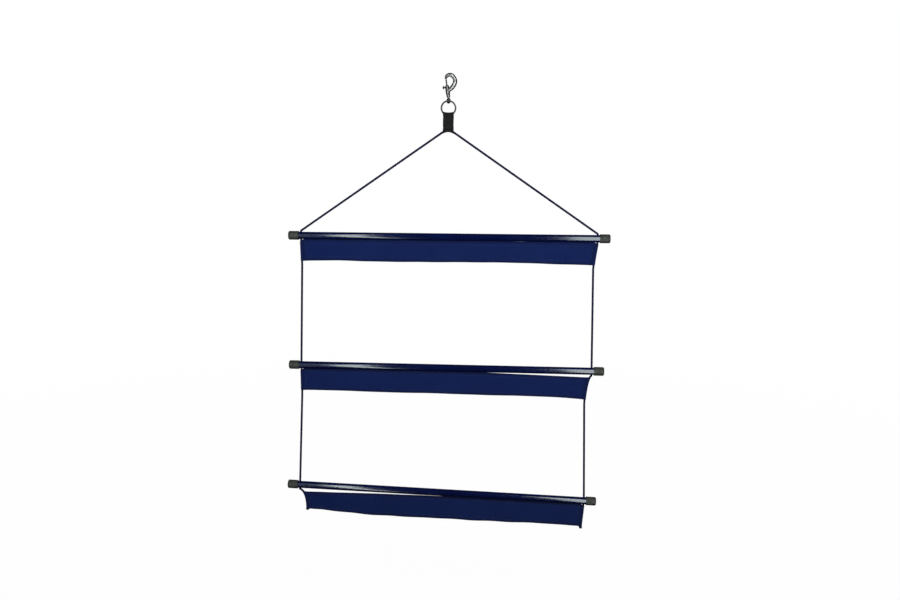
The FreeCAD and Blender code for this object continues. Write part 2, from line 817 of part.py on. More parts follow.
def make_thumb_stud():
    """A turned stud pressed against the bolt through the barrel's slot, with a rounded head for the thumb."""
    body = new_body("thumb_stud")
    neck, head = dim("stud_neck_dia") / 2, dim("stud_head_dia") / 2
    start, end = dim("stud_head_start"), dim("stud_head_end")
    rounding = dim("stud_head_round")
    seat = math.sqrt((dim("bolt_plunger_dia") / 2) ** 2 - neck**2)
    half = new_sketch(body, "stud_half", "XY_Plane")
    add_outline(
        half,
        [
            (-seat, 0),
            (-seat, neck),
            (-start, neck),
            (-start - rounding / 2, head),
            (-end + rounding, head),
            (-end, head - rounding),
            (-end, 0),
        ],
    )
    revolve(body, half, "H_Axis")
    lift = Placement(Vector(0, 0, dim("stud_z")), Rotation())
    body.Placement = snap_placement().multiply(lift)
    return body


def make_bolt_spring():
    """The coil spring that pushes the bolt up against the hook's tip."""
    wire, turns = dim("spring_wire"), dim("spring_turns")
    height = dim("bolt_plunger_foot") - dim("spring_foot") - wire
    radius = dim("spring_dia") / 2
    helix = Part.makeHelix(height / turns, height, radius)
    start = helix.Edges[0]
    heading = start.tangentAt(start.FirstParameter)
    section = Part.Wire(Part.makeCircle(wire / 2, start.valueAt(start.FirstParameter), heading))
    coil = Part.Wire(helix.Edges).makePipeShell([section], True, True)
    spring = add_shape("bolt_spring", coil)
    foot = Placement(Vector(0, 0, dim("spring_foot") + wire / 2), Rotation())
    spring.Placement = snap_placement().multiply(foot)
    return spring


# ---------------------------------------------------------------- build, check and write


def make_all():
    parts = [make_snap_body(), make_snap_bolt(), make_thumb_stud(), make_bolt_spring(), make_swivel_eye()]
    ring = make_torus("o_ring", Vector(0, 0, dim("ring_z")), "dims.ring_radius", "dims.ring_wire / 2")
    parts += [ring, make_webbing(), make_stitching(), make_bridle_rope()]
    rope_names = {"top": "upper_rope", "middle": "lower_rope", "bottom": "tail_rope"}
    for tier in BARS:
        parts += [make_tube(tier), make_bar_knots(tier), make_strip(tier)]
        for side in SIDES:
            parts.append(make_cap(tier, side))
            parts.append(make_side_rope(f"{rope_names[tier]}_{side}", tier, side))
    parts += [make_tail_knot(side) for side in SIDES]
    return parts


def check(parts):
    """Stop if any feature failed or any sub-part is not a sound solid."""
    failed = [o.Name for o in doc.Objects if {"Invalid", "Error"} & set(o.State)]
    unsound = [p.Label for p in parts if p.Shape.isNull() or not p.Shape.isValid() or not p.Shape.Solids]
    if failed or unsound:
        raise ValueError(f"failed {failed}, unsound {unsound}")


def write(parts):
    os.makedirs("parts", exist_ok=True)
    for part in parts:
        part.Shape.exportStep(os.path.join("parts", part.Label + ".step"))
    print("wrote", len(parts), "parts")


def print_pivots():
    for tier, bar in BARS.items():
        for up, word in ((1, "above"), (-1, "below")):
            print(tier, word, [tuple(round(c, 3) for c in bar.pivot(s, up)) for s in (-1, 1)])
    print("eye centre", tuple(eye_centre()), "arch centre", tuple(arch()[0]))


parts = make_all()
doc.recompute()
check(parts)
write(parts)
print_pivots()
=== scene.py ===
import math

import bpy
import numpy as np
from mathutils import Matrix, Vector


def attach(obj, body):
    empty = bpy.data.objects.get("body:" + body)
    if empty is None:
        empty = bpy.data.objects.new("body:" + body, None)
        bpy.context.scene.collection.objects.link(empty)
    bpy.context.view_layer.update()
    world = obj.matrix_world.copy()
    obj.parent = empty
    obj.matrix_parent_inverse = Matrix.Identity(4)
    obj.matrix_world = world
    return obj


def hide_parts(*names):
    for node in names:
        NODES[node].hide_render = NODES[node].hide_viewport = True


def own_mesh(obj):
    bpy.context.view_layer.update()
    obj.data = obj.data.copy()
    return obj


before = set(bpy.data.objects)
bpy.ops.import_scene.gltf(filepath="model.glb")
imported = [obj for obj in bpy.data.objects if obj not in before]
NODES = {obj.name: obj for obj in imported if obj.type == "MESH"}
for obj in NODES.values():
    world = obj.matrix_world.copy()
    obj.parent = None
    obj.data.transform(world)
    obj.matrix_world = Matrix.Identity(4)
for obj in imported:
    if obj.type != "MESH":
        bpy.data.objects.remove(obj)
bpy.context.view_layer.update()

MM = 0.001

# ---------------------------------------------------------------- sizes in metres, as in the CAD source

TUBE_R = 0.011
HOLE_HALF = 0.445
PIVOT_UP = 0.0143
ROPE_R = 0.003
BARS = {"top": (0.0042, -0.4697, -0.4), "middle": (0.0009, -0.8725, -0.1), "bottom": (-0.0083, -1.273, 1.65)}
BELOW = {"top": "middle", "middle": "bottom", "bottom": None}
SIDES = {"left": -1, "right": 1}
LADDER = {"top": "upper_ladder", "middle": "lower_ladder", "bottom": "tail"}
ROPE_NAME = {"top": "upper_rope", "middle": "lower_rope", "bottom": "tail_rope"}
# Each hem: how far in from the bar's hole the rope lies at the hem's top and at its foot, then the gap under
# the bar and the drop.
HEMS = {
    ("top", "left"): (0.0, 0.002, 0.0008, 0.066),
    ("top", "right"): (0.0, 0.0105, 0.0008, 0.066),
    ("middle", "left"): (0.0, 0.0015, 0.0008, 0.068),
    ("middle", "right"): (0.009, 0.019, 0.009, 0.068),
    ("bottom", "left"): (0.023, 0.025, 0.012, 0.053),
    ("bottom", "right"): (0.001, 0.004, 0.0008, 0.073),
}
HEM_TOP = 0.0199
RING_Z, RING_R = -0.090, 0.0208
ARCH_Z, ARCH_R = -0.1826, 0.0278
WEB_HALF = 0.0158
KNOT_R = 0.0048
BRIDGE = 0.0042


def bar_point(tier, along, up, y=0.0):
    """A point given along a bar and square to it, in the row frame."""
    x, z, tilt = BARS[tier]
    a = math.radians(tilt)
    return Vector((x + along * math.cos(a) + up * math.sin(a), y, z - along * math.sin(a) + up * math.cos(a)))


def in_bar(tier, points):
    """Points of the row frame as (along, up) columns of a bar's own frame."""
    x, z, tilt = BARS[tier]
    a = math.radians(tilt)
    dx, dz = points[:, 0] - x, points[:, 2] - z
    return dx * math.cos(a) - dz * math.sin(a), dx * math.sin(a) + dz * math.cos(a)


# ---------------------------------------------------------------- camera

CAMERA_AT = Vector((0.0119, 0.0, -0.661))
CAMERA_FAR, CAMERA_PITCH, CAMERA_YAW, CAMERA_ROLL = 3.030, 9.6, -2.7, 0.76


def make_camera():
    p, w, r = (math.radians(v) for v in (CAMERA_PITCH, CAMERA_YAW, CAMERA_ROLL))
    ahead = Vector((math.sin(w) * math.cos(p), math.cos(w) * math.cos(p), -math.sin(p)))
    right = Vector((math.cos(w), -math.sin(w), 0))
    up = right.cross(ahead)
    right, up = right * math.cos(r) + up * math.sin(r), up * math.cos(r) - right * math.sin(r)
    data = bpy.data.cameras.new("camera")
    data.lens, data.sensor_width = 40.0, 36.0
    data.clip_start, data.clip_end = 0.05, 200.0
    camera = bpy.data.objects.new("camera", data)
    turn = Matrix((right, up, -ahead)).transposed()
    camera.matrix_world = Matrix.Translation(CAMERA_AT - ahead * CAMERA_FAR) @ turn.to_4x4()
    bpy.context.scene.collection.objects.link(camera)
    bpy.context.scene.camera = camera


make_camera()

# ---------------------------------------------------------------- materials


class Shader:
    """A material with a Principled shader, and short ways to add the nodes that feed it."""

    def __init__(self, name, color, roughness, metallic=0.0, **sockets):
        self.material = bpy.data.materials.new(name)
        self.material.use_nodes = True
        self.tree = self.material.node_tree
        self.main = self.tree.nodes["Principled BSDF"]
        self.main.inputs["Base Color"].default_value = (*color, 1)
        self.main.inputs["Roughness"].default_value = roughness
        self.main.inputs["Metallic"].default_value = metallic
        for key, value in sockets.items():
            self.main.inputs[key.replace("_", " ")].default_value = value

    def node(self, kind, inputs=None, **settings):
        made = self.tree.nodes.new("ShaderNode" + kind)
        for key, value in settings.items():
            setattr(made, key, value)
        for key, value in (inputs or {}).items():
            self.put(made.inputs[key], value)
        return made

    def put(self, socket, value):
        if isinstance(value, bpy.types.NodeSocket):
            self.tree.links.new(value, socket)
        else:
            socket.default_value = value

    def place(self, scale=(1, 1, 1), kind="Object", turn=(0, 0, 0)):
        """Where a point lies on the object, stretched."""
        where = self.node("TexCoord").outputs[kind]
        return self.node("Mapping", {"Vector": where, "Scale": scale, "Rotation": turn}).outputs["Vector"]

    def noise(self, at, scale, detail=3.0, rough=0.55):
        made = self.node("TexNoise", {"Vector": at, "Scale": scale, "Detail": detail, "Roughness": rough})
        return made.outputs["Fac"]

    def wave(self, at, scale, direction="X", distortion=0.0):
        made = self.node(
            "TexWave",
            {"Vector": at, "Scale": scale, "Distortion": distortion, "Detail": 1.0, "Detail Scale": 2.0},
            wave_type="BANDS",
            bands_direction=direction,
        )
        return made.outputs["Fac"]

    def math(self, what, a, b=0.0, c=0.0):
        return self.node("Math", {0: a, 1: b, 2: c}, operation=what).outputs[0]

    def span(self, value, low, high, to_low=0.0, to_high=1.0):
        made = self.node(
            "MapRange",
            {"Value": value, "From Min": low, "From Max": high, "To Min": to_low, "To Max": to_high},
        )
        return made.outputs["Result"]

    def blend(self, share, a, b):
        made = self.node("Mix", data_type="RGBA")
        self.put(made.inputs["Factor"], share)
        for socket, value in ((made.inputs[6], a), (made.inputs[7], b)):
            self.put(socket, (*value, 1) if isinstance(value, tuple) else value)
        return made.outputs[2]

    def color(self, value):
        self.put(self.main.inputs["Base Color"], value)

    def rough(self, value):
        self.put(self.main.inputs["Roughness"], value)

    def bump(self, *layers):
        """Height layers as (socket, depth in metres), one on top of the other."""
        normal = None
        for height, depth in layers:
            made = self.node("Bump", {"Height": height, "Distance": depth, "Strength": 1.0})
            if normal is not None:
                self.put(made.inputs["Normal"], normal)
            normal = made.outputs["Normal"]
        self.put(self.main.inputs["Normal"], normal)


def gloss_tube():
    s = Shader(
        "navy_gloss_tube",
        (0.001, 0.003, 0.075),
        0.3,
        Specular_IOR_Level=0.0,
        Coat_Weight=0.9,
        Coat_Roughness=0.11,
    )
    at = s.place()
    drift = s.noise(at, 9.0, 2.0)
    s.color(s.blend(s.span(drift, 0.35, 0.7), (0.0007, 0.0040, 0.046), (0.0014, 0.0060, 0.062)))
    smears = s.noise(s.place((6, 60, 60)), 4.0, 5.0, 0.65)
    s.rough(s.span(smears, 0.35, 0.75, 0.3, 0.4))
    peel = s.noise(at, 420.0, 2.0, 0.5)
    wander = s.noise(s.place((8, 40, 40)), 1.6, 2.0)
    s.bump((wander, 0.00003), (peel, 0.000005))
    return s.material


def cap_rubber():
    s = Shader("cap_rubber", (0.040, 0.043, 0.036), 0.62, Specular_IOR_Level=0.35)
    at = s.place()
    patches = s.noise(at, 190.0, 4.0, 0.62)
    specks = s.noise(at, 900.0, 2.0, 0.6)
    body = s.blend(s.span(patches, 0.38, 0.66), (0.020, 0.022, 0.018), (0.054, 0.058, 0.047))
    s.color(s.blend(s.span(specks, 0.56, 0.74, 0.0, 0.75), body, (0.110, 0.112, 0.095)))
    s.rough(s.span(patches, 0.3, 0.7, 0.72, 0.52))
    s.bump((patches, 0.00025), (specks, 0.00010))
    return s.material


def rope_fibre():
    s = Shader(
        "navy_rope",
        (0.006, 0.009, 0.055),
        0.66,
        Specular_IOR_Level=0.14,
        Sheen_Weight=0.02,
        Sheen_Roughness=0.4,
        Sheen_Tint=(0.35, 0.4, 0.75, 1),
    )
    groove_shade_mask = s.node("Attribute", attribute_name="braid_height").outputs["Fac"]
    family = s.node("Attribute", attribute_name="braid_family").outputs["Fac"]
    at = s.place()
    fuzz = s.noise(at, 2600.0, 2.0, 0.7)
    drift = s.noise(at, 60.0, 2.0)
    light = s.blend(family, (0.0042, 0.0066, 0.050), (0.0064, 0.0094, 0.070))
    lit = s.blend(s.span(drift, 0.3, 0.7, 0.0, 0.5), light, (0.0036, 0.0054, 0.036))
    # Painted shade: the braid's valleys, where its height is low, are darkened towards near black.
    s.color(s.blend(s.span(groove_shade_mask, 0.25, 0.8), (0.0016, 0.0026, 0.016), lit))
    s.bump((fuzz, 0.00012))
    return s.material


def strip_cloth():
    s = Shader(
        "navy_cloth",
        (0.008, 0.015, 0.096),
        0.78,
        Specular_IOR_Level=0.08,
        Sheen_Weight=0.01,
        Sheen_Roughness=0.45,
        Sheen_Tint=(0.3, 0.38, 0.85, 1),
    )
    at = s.place(kind="UV")
    warp = s.wave(at, 165.0, "X", 0.25)
    weft = s.wave(at, 165.0, "Y", 0.25)
    weave = s.math("MULTIPLY", warp, weft)
    slub = s.noise(s.place((1.0, 34.0, 1.0), kind="UV"), 26.0, 3.0, 0.6)
    drift = s.noise(at, 7.0, 3.0, 0.6)
    base = s.blend(s.span(drift, 0.3, 0.7), (0.0029, 0.0150, 0.109), (0.0051, 0.0200, 0.131))
    lined = s.blend(s.span(slub, 0.45, 0.75, 0.0, 0.35), base, (0.007, 0.023, 0.138))
    # Painted shade: the cloth is darkened along its top and foot hems and beside the rope sleeves, where the
    # folds turn away.
    fold = s.node("Attribute", attribute_name="hem").outputs["Fac"]
    dark = s.blend(s.math("MULTIPLY", fold, 0.55), lined, (0.004, 0.007, 0.040))
    s.color(s.blend(s.span(weave, 0.0, 0.25, 0.3, 0.0), dark, (0.003, 0.005, 0.030)))
    s.rough(s.span(slub, 0.3, 0.8, 0.84, 0.68))
    s.bump((slub, 0.00022), (weave, 0.00016))
    return s.material


def webbing_weave():
    s = Shader(
        "black_webbing",
        (0.012, 0.012, 0.012),
        0.7,
        Specular_IOR_Level=0.15,
        Sheen_Weight=0.01,
        Sheen_Roughness=0.5,
    )
    at = s.place(kind="UV")
    rib = s.wave(at, 105.0, "X")
    pick = s.wave(at, 190.0, "Y", 0.6)
    twill = s.wave(s.place(kind="UV", turn=(0, 0, math.radians(38))), 140.0, "X")
    ribs = s.math("ADD", rib, s.math("MULTIPLY", twill, 0.6))
    weave = s.math("MULTIPLY", ribs, s.math("ADD", pick, 0.5))
    drift = s.noise(at, 60.0, 3.0)
    base = s.blend(s.span(drift, 0.3, 0.7), (0.0048, 0.0046, 0.0045), (0.0082, 0.0078, 0.0076))
    s.color(s.blend(s.span(weave, 0.1, 0.7, 0.45, 0.0), base, (0.002, 0.002, 0.002)))
    fray = s.noise(at, 1500.0, 2.0, 0.7)
    s.bump((weave, 0.00012), (fray, 0.00003))
    return s.material


def sewing_thread(name, color):
    s = Shader(name, color, 0.45, Sheen_Weight=0.1)
    ply = s.noise(s.place(), 2400.0, 2.0, 0.6)
    s.color(s.blend(s.span(ply, 0.35, 0.7), tuple(c * 0.55 for c in color), tuple(c * 1.3 for c in color)))
    s.bump((ply, 0.00008))
    return s.material


def cast_nickel(name, dark, light, rough, grain):
    """Cast and plated metal with random patchy tone, and painted light: a painted highlight towards +X, the
    side where the hook opens, and painted shade towards -X.
    """
    s = Shader(name, light, rough, metallic=1.0)
    at = s.place()
    cloud = s.noise(at, 70.0, 3.0, 0.5)
    # Painted highlight and shade: the colour runs from the dark end at -X to the light end at +X, and the
    # noise's random tone is added on top.
    side = s.node("SeparateXYZ", {0: at}).outputs["X"]
    painted_sheen_and_tone = s.math("MULTIPLY_ADD", s.span(side, -0.009, 0.012), 0.75, s.math("MULTIPLY", cloud, 0.4))
    s.color(s.blend(painted_sheen_and_tone, dark, light))
    rub = s.noise(at, 300.0, 2.0, 0.5)
    s.rough(s.span(rub, 0.35, 0.75, rough * 0.85, rough * 1.3))
    cast = s.noise(at, 260.0, 2.0, 0.5)
    s.bump((cast, grain))
    return s.material


TUBE_PAINT = gloss_tube()
CAP_RUBBER = cap_rubber()
ROPE = rope_fibre()
CLOTH = strip_cloth()
WEBBING = webbing_weave()
BLACK_THREAD = sewing_thread("black_thread", (0.009, 0.009, 0.010))
NAVY_THREAD = sewing_thread("navy_thread", (0.006, 0.010, 0.055))
SNAP_METAL = cast_nickel("snap_nickel", (0.055, 0.052, 0.053), (0.290, 0.272, 0.279), 0.27, 0.000006)
RING_METAL = cast_nickel("ring_nickel", (0.050, 0.045, 0.047), (0.115, 0.102, 0.106), 0.36, 0.000010)
SPRING_METAL = cast_nickel("spring_steel", (0.38, 0.36, 0.37), (0.55, 0.52, 0.54), 0.25, 0.00001)
PAINT_FOR = {
    "snap_body": SNAP_METAL,
    "snap_bolt": RING_METAL,
    "thumb_stud": SNAP_METAL,
    "swivel_eye": RING_METAL,
    "o_ring": RING_METAL,
}
for tier in BARS:
    PAINT_FOR[f"{tier}_tube"] = TUBE_PAINT
    for side in SIDES:
        PAINT_FOR[f"{tier}_cap_{side}"] = CAP_RUBBER
for node, paint in PAINT_FOR.items():
    NODES[node].data.materials.clear()
    NODES[node].data.materials.append(paint)

# ---------------------------------------------------------------- mesh helpers


def new_piece(name, points, faces, paint, body, slot):
    """A smooth mesh piece that rides on a body."""
    mesh = bpy.data.meshes.new(name)
    mesh.from_pydata([tuple(p) for p in points], [], faces)
    mesh.polygons.foreach_set("use_smooth", [True] * len(mesh.polygons))
    mesh.materials.append(paint)
    piece = bpy.data.objects.new(name, mesh)
    bpy.context.scene.collection.objects.link(piece)
    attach(piece, body)
    return piece


def grid_faces(rows, columns, closed_columns=False):
    """The quads of a grid of points kept row by row."""
    faces = []
    wide = columns if closed_columns else columns - 1
    for r in range(rows - 1):
        for c in range(wide):
            d = (c + 1) % columns
            faces.append((r * columns + c, r * columns + d, (r + 1) * columns + d, (r + 1) * columns + c))
    return faces


def add_values(piece, name, values):
    layer = piece.data.attributes.new(name, "FLOAT", "POINT")
    layer.data.foreach_set("value", np.asarray(values, np.float32))


def smooth_line(points):
    """The points of the smooth curve that has a route's points as its control points."""
    curve = bpy.data.curves.new("route", "CURVE")
    curve.dimensions = "3D"
    spline = curve.splines.new("NURBS")
    spline.points.add(len(points) - 1)
    for own, point in zip(spline.points, points):
        own.co = (*point, 1)
    spline.order_u = 3
    spline.use_endpoint_u = True
    spline.resolution_u = 32
    holder = bpy.data.objects.new("route", curve)
    mesh = bpy.data.meshes.new_from_object(holder)
    line = np.array([v.co for v in mesh.vertices], float)
    bpy.data.meshes.remove(mesh)
    bpy.data.curves.remove(curve)
    return line


def along(line):
    return np.concatenate([[0], np.cumsum(np.linalg.norm(np.diff(line, axis=0), axis=1))])


def evenly(line, step):
    """Points at even distances along a line."""
    far = along(line)
    at = np.linspace(0, far[-1], max(3, int(round(far[-1] / step)) + 1))
    return np.stack([np.interp(at, far, line[:, k]) for k in range(3)], axis=1), at


# ---------------------------------------------------------------- return spring

SNAP_AT, SNAP_LEAN = Vector((0, 0, -0.0599)), math.radians(9)
SPRING_FOOT, SPRING_HIGH, SPRING_R, SPRING_WIRE_R = 0.006, 0.017, 0.0026, 0.00035
SPRING_TURNS, BOLT_TRAVEL = 7, 0.011


def make_spring():
    """The coil in the snap's barrel, made at rest; the real coil shortens towards its foot as the bolt slides
    down.
    """
    up = Vector((-math.sin(SNAP_LEAN), 0, math.cos(SNAP_LEAN)))
    side, front = Vector((math.cos(SNAP_LEAN), 0, math.sin(SNAP_LEAN))), Vector((0, 1, 0))
    foot = SNAP_AT + up * SPRING_FOOT
    steps, around = 24 * SPRING_TURNS, 10
    points = []
    for n in range(steps + 1):
        turn = 2 * math.pi * SPRING_TURNS * n / steps
        out = side * math.cos(turn) + front * math.sin(turn)
        rise = SPRING_WIRE_R + (SPRING_HIGH - 2 * SPRING_WIRE_R) * n / steps
        for k in range(around):
            a = 2 * math.pi * k / around
            higher, wider = rise + SPRING_WIRE_R * math.sin(a), SPRING_R + SPRING_WIRE_R * math.cos(a)
            points.append(foot + up * higher + out * wider)
    faces = grid_faces(steps + 1, around, True)
    faces.append(tuple(range(around))[::-1])
    faces.append(tuple(range(steps * around, (steps + 1) * around)))
    spring = new_piece("coiled_spring", points, faces, SPRING_METAL, "snap", "spring_steel")
    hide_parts("bolt_spring")
    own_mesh(spring)


make_spring()

# ---------------------------------------------------------------- braided rope

STRANDS, BRAID_PITCH, AROUND, ROPE_STEP = 5, 0.0042, 40, 0.0006
# The braid's valleys and how far its strands rise over them, as shares of the rope's radius.
BRAID_LOW, BRAID_RISE = 0.97, 0.14
# How far a rope runs straight before it bends.
STRAIGHT = 0.036
# A stopper knot: half its length, how much wider than the rope it is, and its lumps' depth and spacing.
STOPPER_HALF, STOPPER_WIDER, LUMP_DEPTH, LUMP_RUN = 0.0075, 1.35, 0.12, 0.0011
# A melted knot's shape as shares of its radius along X, Y and Z.
BUTTON_SHAPE = (1.08, 1.08, 0.92)


def braid(turn, run):
    """The height, 0 to 1, of a diamond braid's surface, and which way the strand on top leans."""
    a, b = STRANDS * turn + run / BRAID_PITCH, STRANDS * turn - run / BRAID_PITCH
    fa, fb = a - np.floor(a) - 0.5, b - np.floor(b) - 0.5
    lean = (np.floor(a) + np.floor(b)) % 2
    across, onward = np.where(lean > 0.5, fa, fb), np.where(lean > 0.5, fb, fa)
    height = np.sqrt(1 - np.minimum(1, (1.94 * across) ** 2)) * (1 - 0.55 * (2 * onward) ** 2)
    return height, lean


def rope_mesh(name, line, body, phase=0.0, swell=None):
    """A braided rope along a line that lies in a plane of constant Y, round at both ends."""
    centres, at = evenly(line, ROPE_STEP)
    heading = np.gradient(centres, axis=0)
    heading /= np.linalg.norm(heading, axis=1)[:, None]
    side = np.array([0.0, 1.0, 0.0])
    other = np.cross(heading, side)
    shares = np.linspace(-90, 0, 7)[:-1]
    caps = [(math.sin(math.radians(s)) * ROPE_R, math.cos(math.radians(s))) for s in shares]
    rings = [(centres[0] + heading[0] * d, other[0], at[0] + d, k) for d, k in caps]
    rings += [(c, o, s, 1.0) for c, o, s in zip(centres, other, at)]
    rings += [(centres[-1] - heading[-1] * d, other[-1], at[-1] - d, k) for d, k in reversed(caps)]
    middle = np.array([r[0] for r in rings])
    out = np.array([r[1] for r in rings])
    run = np.array([r[2] for r in rings])
    share = np.array([r[3] for r in rings])
    grow = np.ones(len(run)) if swell is None else swell(run)
    turn = np.arange(AROUND) / AROUND
    height, lean = braid(turn[None, :] + phase, run[:, None])
    radius = ROPE_R * (BRAID_LOW + BRAID_RISE * height) * share[:, None] * grow[:, None]
    angle = 2 * math.pi * turn
    spin = np.cos(angle)[None, :, None] * side + np.sin(angle)[None, :, None] * out[:, None, :]
    points = (middle[:, None, :] + spin * radius[:, :, None]).reshape(-1, 3)
    faces = grid_faces(len(run), AROUND, True)
    faces.append(tuple(range(AROUND))[::-1])
    last = (len(run) - 1) * AROUND
    faces.append(tuple(range(last, last + AROUND)))
    piece = new_piece(name, points, faces, ROPE, body, "navy_rope")
    add_values(piece, "braid_height", height.ravel())
    add_values(piece, "braid_family", lean.ravel())
    return piece


def hem_point(tier, side, end):
    """The rope's centre at the top or the foot of a hem."""
    out, inward, gap, drop = HEMS[tier, side]
    if end == "top":
        return bar_point(tier, SIDES[side] * (HOLE_HALF - out), -max(HEM_TOP, TUBE_R + gap))
    return bar_point(tier, SIDES[side] * (HOLE_HALF - inward), -(TUBE_R + gap + drop))


def towards(a, b, far):
    return a + (b - a).normalized() * far


def side_route(tier, side):
    """A side rope's route: under its bar, down the hem, and on to the next bar or the end knot."""
    s = SIDES[side]
    points = [bar_point(tier, s * HOLE_HALF, -PIVOT_UP)]
    if HEMS[tier, side][0]:
        points.append(hem_point(tier, side, "top"))
    foot = hem_point(tier, side, "foot")
    if BELOW[tier]:
        end = bar_point(BELOW[tier], s * HOLE_HALF, PIVOT_UP)
        points += [foot, towards(foot, end, STRAIGHT), towards(end, foot, STRAIGHT), end]
    else:
        points.append(knot_at(side))
    return points


def knot_at(side):
    top, foot = hem_point("bottom", side, "top"), hem_point("bottom", side, "foot")
    return foot + (foot - top).normalized() * KNOT_R / 2


def bridle_route():
    """Up from the top bar's left hole, over the arch in the webbing, and down to the right hole."""
    centre = Vector((0, 0, ARCH_Z))
    ends = {side: bar_point("top", s * HOLE_HALF, PIVOT_UP) for side, s in SIDES.items()}
    leave = {}
    for side, s in SIDES.items():
        reach = ends[side] - centre
        leave[side] = s * math.atan2(abs(reach.x), reach.z) - s * math.acos(ARCH_R / reach.length)
    third = (leave["right"] - leave["left"]) / 3
    out = ARCH_R / math.cos(third / 2)
    corners = []
    for n in range(3):
        a = leave["left"] + third * (n + 0.5)
        corners.append(centre + Vector((math.sin(a), 0, math.cos(a))) * out)
    near = 2 * ARCH_R * math.tan(third / 2)
    start, end = ends["left"], ends["right"]
    left = [start, towards(start, corners[0], STRAIGHT), towards(corners[0], start, near)]
    right = [towards(corners[2], end, near), towards(end, corners[2], STRAIGHT), end]
    return left + corners + right


ROPE_LINES = {(tier, side): smooth_line(side_route(tier, side)) for tier in BARS for side in SIDES}


def make_ropes():
    line = smooth_line(bridle_route())
    rope = rope_mesh("braided_bridle", line, "bridle")
    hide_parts("bridle_rope")
    for n, ((tier, side), line) in enumerate(ROPE_LINES.items()):
        node = f"{ROPE_NAME[tier]}_{side}"
        rope = rope_mesh(f"braided_{node}", line, LADDER[tier], phase=0.13 * n)
        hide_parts(node)
    for tier in BARS:
        for side, s in SIDES.items():
            top, foot = (bar_point(tier, s * HOLE_HALF, up * PIVOT_UP) for up in (1, -1))
            line = np.array([top, (top + foot) / 2, foot])
            knot = rope_mesh(f"{tier}_stopper_knot_{side}", line, f"{tier}_bar", 0.3, stopper_swell)
            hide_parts(f"{tier}_bar_knots")


def stopper_swell(run):
    """How much wider than the rope its stopper knot is, inside the tube."""
    off = np.abs(run - PIVOT_UP) / STOPPER_HALF
    lump = 1 + LUMP_DEPTH * np.sin(run / LUMP_RUN)
    return 1 + STOPPER_WIDER * np.sqrt(np.clip(1 - off**2, 0, 1)) * lump


def make_tail_knots():
    """Each tail rope ends in a knot whose end has been melted to a hard button."""
    rows, columns = 28, 40
    faces = grid_faces(rows, columns, True)
    for side in SIDES:
        centre = np.array(knot_at(side))
        points = []
        for r in range(rows):
            down = math.pi * r / (rows - 1)
            for c in range(columns):
                round_ = 2 * math.pi * c / columns
                lump = 1 + 0.07 * math.sin(3 * round_ + 4 * down) + 0.05 * math.sin(5 * down - 2 * round_)
                crease = 1 - 0.16 * math.exp(-(((down - 1.75) + 0.35 * math.sin(round_)) / 0.13) ** 2)
                radius = KNOT_R * lump * crease
                wide = math.sin(down)
                out = np.array([wide * math.cos(round_), wide * math.sin(round_), math.cos(down)])
                points.append(centre + out * radius * np.array(BUTTON_SHAPE))
        knot = new_piece(f"melted_knot_{side}", points, faces, ROPE, "tail", "navy_rope")
        add_values(knot, "braid_height", np.full(rows * columns, 0.6))
        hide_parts(f"tail_knot_{side}")


make_ropes()
make_tail_knots()

# ---------------------------------------------------------------- cloth strips

CLOTH_THICK, LAYER = 0.0008, 0.00095
HEM_DEEP = 0.009
CLOTH_GIVE, ROUND_ROPE = 0.0003, 0.00375
# A side hem's section round the rope, from its raw edge on the back to the front: (inwards, back), in mm.
SLEEVE = [
    (15.0, 2.0), (13.0, 2.0), (10.5, 1.95), (8.5, 2.2), (6.5, 2.7), (4.5, 3.25), (2.3, 3.65), (0.0, 3.75),
    (-1.9, 3.25), (-3.25, 1.9), (-3.75, 0.0), (-3.25, -1.9), (-1.9, -3.25), (0.0, -3.75), (2.3, -3.5),
    (4.5, -2.8), (6.5, -1.8), (8.5, -0.85), (10.5, -0.25), (13.0, -0.02),
]
# How far a side hem's stitches lie inwards from its rope, and a top or foot hem's from its raw edge.
STITCH_IN, STITCH_EDGE = 0.0105, 0.0015
# About a full turn in radians, for ripples.
TURN = 6.28
# The lower edge's depth below the bar, and the upper edge's gap under it, at even shares of the width, in mm.
LOWER_EDGE = {
    "top": [76.9, 74.6, 76.6, 76.7, 76.0, 75.1, 75.4, 78.2, 79.6],
    "middle": [79.6, 79.3, 80.7, 81.5, 80.6, 83.3, 81.8, 84.1, 88.4],
    "bottom": [78.2, 82.3, 87.2, 86.1, 86.0, 85.1, 83.8, 82.6, 83.7],
}
UPPER_EDGE = {
    "top": [0.45, 0.45, 0.45, 0.45, 0.45, 0.45, 0.45, 0.45, 0.45],
    "middle": [0.45, 0.45, 0.45, 0.45, 0.45, 0.8, 3.2, 6.4, 9.0],
    "bottom": [12.0, 8.8, 5.4, 3.1, 1.3, 0.45, 0.45, 0.45, 0.45],
}


def eased(values, share):
    """A smooth curve through values at even shares."""
    n = len(values) - 1
    at = np.clip(np.asarray(share, float), 0, 1) * n
    i = np.minimum(at.astype(int), n - 1)
    t = at - i
    v = np.array([2 * values[0] - values[1], *values, 2 * values[-1] - values[-2]], float)
    a, b, c, d = v[i], v[i + 1], v[i + 2], v[i + 3]
    return b + 0.5 * t * (c - a + t * (2 * a - 5 * b + 4 * c - d + t * (3 * (b - c) + d - a)))


